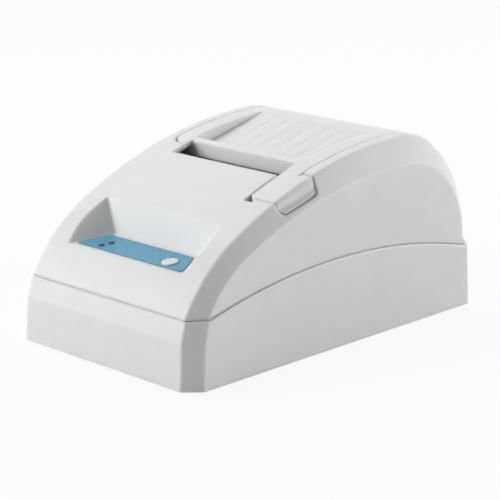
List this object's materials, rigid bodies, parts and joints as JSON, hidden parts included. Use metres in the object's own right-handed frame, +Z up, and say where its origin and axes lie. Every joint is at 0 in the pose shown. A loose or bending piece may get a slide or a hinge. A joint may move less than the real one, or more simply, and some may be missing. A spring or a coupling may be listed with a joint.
{
  "type": "receipt printer",
  "caption": "Desktop thermal receipt printer with an arched casing, ribbed paper lid with a finger tab, control recess, roller, gears and rear ports.",
  "frame": {"origin": "on the table, under the middle of the base", "axes": "+X to the right of someone facing the front, +Y to the back, +Z up"},
  "size_m": [0.118, 0.195, 0.0912],
  "materials": {
    "case_grey": "fine texture",
    "lid_grey": "fine texture",
    "black_plastic": "matte",
    "blue_overlay": "satin film",
    "button_white": "satin",
    "lens_green": "translucent",
    "lens_red": "translucent",
    "steel": "ground",
    "zinc": "zinc plated",
    "aluminium": "extruded",
    "ceramic": "glazed",
    "rubber": "matte",
    "gear_nylon": "moulded",
    "board_green": "solder mask",
    "brass": "plated"
  },
  "bodies": {
    "casing": {"base_tray": "case_grey", "upper_shell": "case_grey", "hinge_pin": "steel", "idler_axle": "steel", "mech_chassis": "black_plastic", "head_pivot_pin": "steel", "head_springs": "steel", "tear_bar": "steel", "stepper_motor": "zinc", "motor_screws": "zinc", "paper_bucket": "black_plastic", "paper_sensor": "black_plastic", "chassis_screws": "zinc", "bucket_screws": "zinc", "lamp_power": "lens_green", "lamp_paper": "lens_red", "control_overlay": "blue_overlay", "control_board": "board_green", "control_screws": "zinc", "tact_switch": "black_plastic", "main_board": "board_green", "board_screws": "zinc", "board_chips": "black_plastic", "board_capacitors": "aluminium", "data_port": "zinc", "data_tongue": "button_white", "drawer_port": "black_plastic", "drawer_contacts": "brass", "power_jack": "black_plastic", "power_pin": "brass", "switch_housing": "black_plastic", "rubber_feet": "rubber", "case_screws": "zinc"},
    "lid": {"paper_lid": "lid_grey", "platen_bushes": "black_plastic", "platen_bracket": "black_plastic"},
    "platen": {"platen_shaft": "steel", "platen_roller": "rubber", "platen_gear": "gear_nylon"},
    "idler": {"idler_gear": "gear_nylon"},
    "pinion": {"motor_pinion": "brass", "motor_shaft": "steel"},
    "head": {"head_heatsink": "aluminium", "head_strip": "ceramic"},
    "button": {"feed_button": "button_white"},
    "rocker": {"power_rocker": "black_plastic"}
  },
  "joints": [
    {"name": "lid_hinge", "type": "hinge", "parent": "casing", "child": "lid", "pos_m": [0, 0.07966, 0.06542], "axis": [-1, 0, 0], "range_deg": [0, 100]},
    {"name": "platen_spin", "type": "hinge", "parent": "lid", "child": "platen", "pos_m": [0, -0.008, 0.0705], "axis": [1, 0, 0], "continuous": true},
    {"name": "idler_spin", "type": "hinge", "parent": "casing", "child": "idler", "pos_m": [0, -0.01507, 0.06207], "axis": [1, 0, 0], "continuous": true},
    {"name": "pinion_spin", "type": "hinge", "parent": "casing", "child": "pinion", "pos_m": [0, -0.01057, 0.05427], "axis": [1, 0, 0], "continuous": true},
    {"name": "head_tilt", "type": "hinge", "parent": "casing", "child": "head", "pos_m": [0, -0.01615, 0.06437], "axis": [1, 0, 0], "range_deg": [0, 2], "stiffness_Nm_per_rad": 0.6, "springref_deg": -2.86, "deforming": ["head_springs"]},
    {"name": "feed_press", "type": "slide", "parent": "casing", "child": "button", "axis": [0, 0.1357, -0.9907], "range_m": [0, 0.0008], "stiffness_N_per_m": 600, "springref_m": -0.0005},
    {"name": "rocker_tilt", "type": "hinge", "parent": "casing", "child": "rocker", "pos_m": [0.028, 0.0917, 0.0175], "axis": [-1, 0, 0], "range_deg": [0, 20]}
  ],
  "couplings": [
    {"joint": "idler_spin", "follows": "platen_spin", "ratio": -0.83333},
    {"joint": "pinion_spin", "follows": "platen_spin", "ratio": 1.6667}
  ]
}
